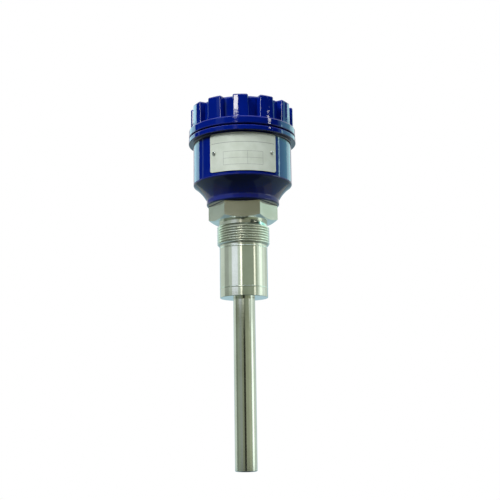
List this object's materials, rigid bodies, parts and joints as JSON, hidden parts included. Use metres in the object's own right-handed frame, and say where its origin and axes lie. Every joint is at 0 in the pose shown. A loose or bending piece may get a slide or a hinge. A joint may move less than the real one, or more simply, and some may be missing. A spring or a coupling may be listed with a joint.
{
  "type": "vibrating rod level switch",
  "caption": "Vibrating rod level switch: cast housing with castellated screw lid and nameplate, hexagon and pipe thread process connection, welded sensor tube and long round rod.",
  "frame": {"origin": "centre of the hexagon's underside, the face that seals on the process flange", "axes": "+Z along the instrument's axis from the rod to the lid; -Y towards the nameplate; the cable entries open towards +Y"},
  "size_m": [0.0998, 0.1242, 0.3301],
  "materials": {
    "blue_enamel": "gloss",
    "turned_steel": "satin",
    "rod_steel": "satin",
    "plate_metal": "satin",
    "rivet_metal": "satin",
    "seal_rubber": "matte",
    "nickel_brass": "satin",
    "zinc_steel": "satin",
    "drive_steel": "satin",
    "alumina": "matte",
    "piezo_ceramic": "satin",
    "contact_brass": "satin",
    "cable_jacket": "matte",
    "cup_plastic": "matte",
    "board_green": "satin",
    "terminal_green": "satin",
    "relay_plastic": "satin",
    "ferrite": "matte",
    "trimmer_blue": "gloss",
    "trimmer_white": "satin",
    "switch_black": "satin",
    "led_lens": "gloss"
  },
  "bodies": {
    "instrument": {"housing": "blue_enamel", "process_connection": "turned_steel", "sensor_tube": "turned_steel", "sensor_head": "turned_steel", "nameplate": "plate_metal", "nameplate_rivets": "rivet_metal", "neck_seal": "seal_rubber", "gland_insert": "seal_rubber", "gland_gasket": "seal_rubber", "blanking_gasket": "seal_rubber", "gland_body": "nickel_brass", "gland_cap": "nickel_brass", "blanking_plug": "nickel_brass", "earth_screw": "zinc_steel", "earth_clamp": "zinc_steel", "module_screws": "zinc_steel", "terminal_screws": "zinc_steel", "neck_lock_nut": "zinc_steel", "tension_bolt": "drive_steel", "clamp_nut": "drive_steel", "pressure_plate": "drive_steel", "spring_washer": "drive_steel", "insulating_washers": "alumina", "piezo_discs": "piezo_ceramic", "electrode_plates": "contact_brass", "signal_cable": "cable_jacket", "electronics_cup": "cup_plastic", "circuit_board": "board_green", "supply_terminals": "terminal_green", "relay_terminals": "terminal_green", "relay": "relay_plastic", "transformer": "ferrite", "trimmer_base": "trimmer_blue", "mode_switch_body": "switch_black", "status_leds": "led_lens"},
    "seal_ring": {"lid_seal": "seal_rubber"},
    "screw_lid": {"lid": "blue_enamel"},
    "rod": {"vibrating_rod": "rod_steel", "rod_end_plug": "rod_steel"},
    "counter_rod": {"inner_rod": "drive_steel"},
    "trimmer": {"trimmer_rotor": "trimmer_white"},
    "selector": {"mode_switch_slider": "trimmer_white"}
  },
  "joints": [
    {"name": "lid_lift", "type": "slide", "parent": "instrument", "child": "seal_ring", "axis": [0, 0, 1], "range_m": [0, 0.01]},
    {"name": "lid_turn", "type": "hinge", "parent": "seal_ring", "child": "screw_lid", "pos_m": [0, 0, 0.08], "axis": [0, 0, 1], "range_deg": [0, 1800]},
    {"name": "rod_swing", "type": "hinge", "parent": "instrument", "child": "rod", "pos_m": [0, 0, -0.06875], "axis": [0, 1, 0], "range_deg": [-0.05, 0.05], "stiffness_Nm_per_rad": 40},
    {"name": "counter_swing", "type": "hinge", "parent": "instrument", "child": "counter_rod", "pos_m": [0, 0, -0.06875], "axis": [0, 1, 0], "range_deg": [-0.05, 0.05]},
    {"name": "trimmer_turn", "type": "hinge", "parent": "instrument", "child": "trimmer", "pos_m": [-0.0295, 0.003, 0.0525], "axis": [0, 0, 1], "range_deg": [-135, 135]},
    {"name": "selector_slide", "type": "slide", "parent": "instrument", "child": "selector", "axis": [0, 1, 0], "range_m": [0, 0.002]}
  ],
  "couplings": [
    {"joint": "lid_lift", "follows": "lid_turn", "m_per_rad": 0.0003183},
    {"joint": "counter_swing", "follows": "rod_swing", "ratio": -1}
  ]
}
